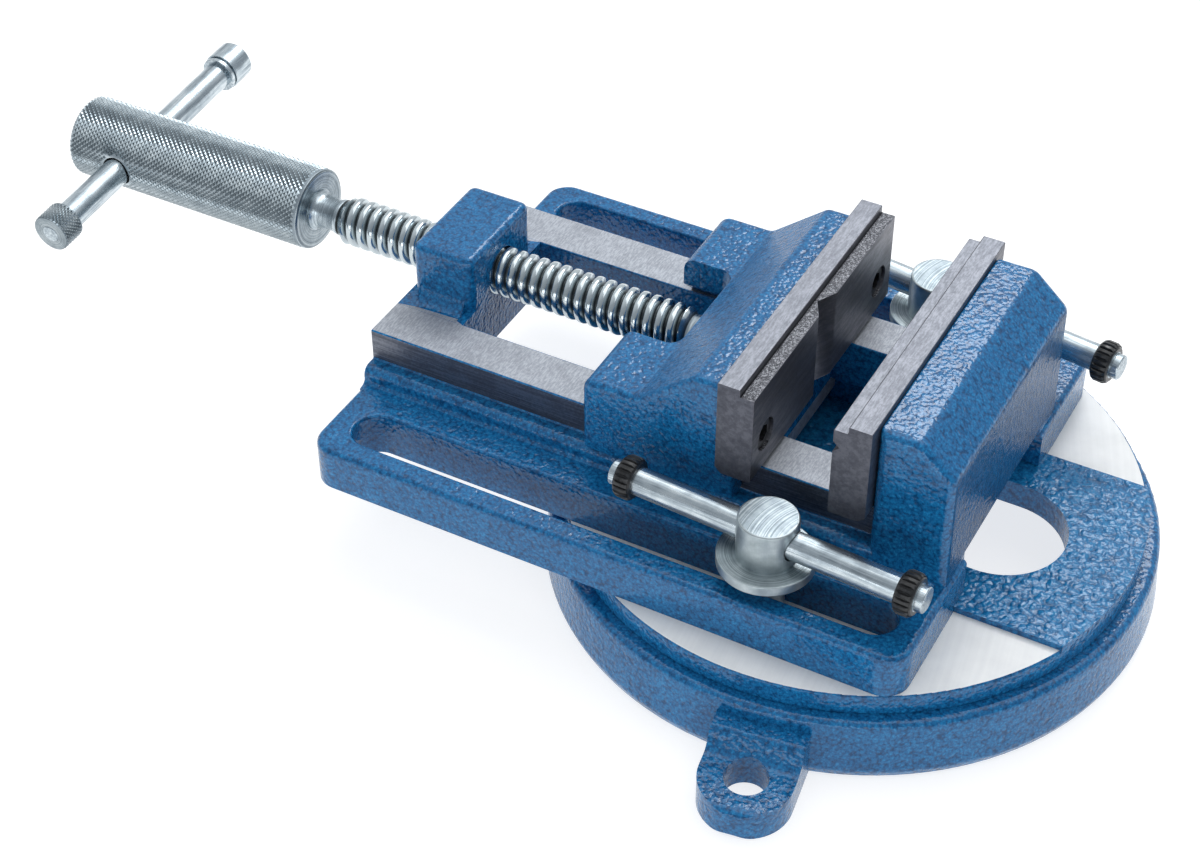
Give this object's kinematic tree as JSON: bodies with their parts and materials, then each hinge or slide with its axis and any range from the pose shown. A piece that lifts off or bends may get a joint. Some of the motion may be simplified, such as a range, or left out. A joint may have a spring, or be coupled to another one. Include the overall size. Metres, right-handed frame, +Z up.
{
  "type": "drill press vise",
  "caption": "Drill press vise with a slotted bed, ground jaw plates and a screw handle, clamped on a turntable in a round base with bolt ears.",
  "frame": {"origin": "centre of the base's two-hole bolt circle, in the plane of the foot; the swivel axis runs through it", "axes": "+Z up along the swivel axis, +X from the handle towards the fixed jaw, +Y towards the rear clamp bolt"},
  "size_m": [0.382, 0.2456, 0.0948],
  "materials": {
    "blue_enamel": "glossy hammered enamel on cast iron",
    "ground_steel": "ground",
    "zinc_plate": "bright zinc plated",
    "black_oxide": "black oxide",
    "black_rubber": "matte"
  },
  "bodies": {
    "base": {"swivel_base": "blue_enamel"},
    "table": {"turntable": "blue_enamel", "front_clamp_strap": "black_oxide", "rear_clamp_strap": "black_oxide"},
    "vise": {"vise_bed": "blue_enamel", "fixed_jaw_plate": "ground_steel", "fixed_plate_screws": "black_oxide"},
    "jaw": {"moving_jaw": "blue_enamel", "moving_jaw_plate": "ground_steel", "moving_plate_screws": "black_oxide", "jaw_keeper": "ground_steel", "keeper_screws": "black_oxide", "retaining_pin": "ground_steel"},
    "screw": {"lead_screw": "zinc_plate", "handle_hub": "zinc_plate"},
    "tommy": {"tommy_bar": "zinc_plate", "tommy_bar_knob": "zinc_plate"},
    "front_bolt": {"front_clamp_bolt": "zinc_plate"},
    "rear_bolt": {"rear_clamp_bolt": "zinc_plate"},
    "front_bar": {"front_clamp_bar": "zinc_plate", "front_bar_rings": "black_rubber"},
    "rear_bar": {"rear_clamp_bar": "zinc_plate", "rear_bar_rings": "black_rubber"}
  },
  "joints": [
    {"name": "swivel", "type": "hinge", "parent": "base", "child": "table", "pos_m": [0, 0, 0.028], "axis": [0, 0, 1], "continuous": true},
    {"name": "bed_slide", "type": "slide", "parent": "table", "child": "vise", "axis": [1, 0, 0], "range_m": [-0.0349, 0.1323]},
    {"name": "jaw_slide", "type": "slide", "parent": "vise", "child": "jaw", "axis": [1, 0, 0], "range_m": [-0.072, 0.024]},
    {"name": "screw_turn", "type": "hinge", "parent": "jaw", "child": "screw", "pos_m": [-0.05, 0, 0.065], "axis": [1, 0, 0], "range_deg": [-6481, 2161]},
    {"name": "tommy_bar_slide", "type": "slide", "parent": "screw", "child": "tommy", "axis": [0, 0.9971, 0.0759], "range_m": [-0.0326, 0.0266]},
    {"name": "front_bolt_turn", "type": "hinge", "parent": "table", "child": "front_bolt", "pos_m": [-0.001, -0.0632, 0.0545], "axis": [0, 0, 1], "range_deg": [-5, 12]},
    {"name": "rear_bolt_turn", "type": "hinge", "parent": "table", "child": "rear_bolt", "pos_m": [-0.001, 0.0632, 0.0545], "axis": [0, 0, 1], "range_deg": [0, 20]},
    {"name": "front_bar_slide", "type": "slide", "parent": "front_bolt", "child": "front_bar", "axis": [0.9981, -0.061, 0], "range_m": [-0.0327, 0.0336]},
    {"name": "rear_bar_slide", "type": "slide", "parent": "rear_bolt", "child": "rear_bar", "axis": [0.9914, -0.1305, 0], "range_m": [-0.0472, 0.0192]}
  ],
  "couplings": [
    {"joint": "screw_turn", "follows": "jaw_slide", "rad_per_m": 1570.8}
  ]
}
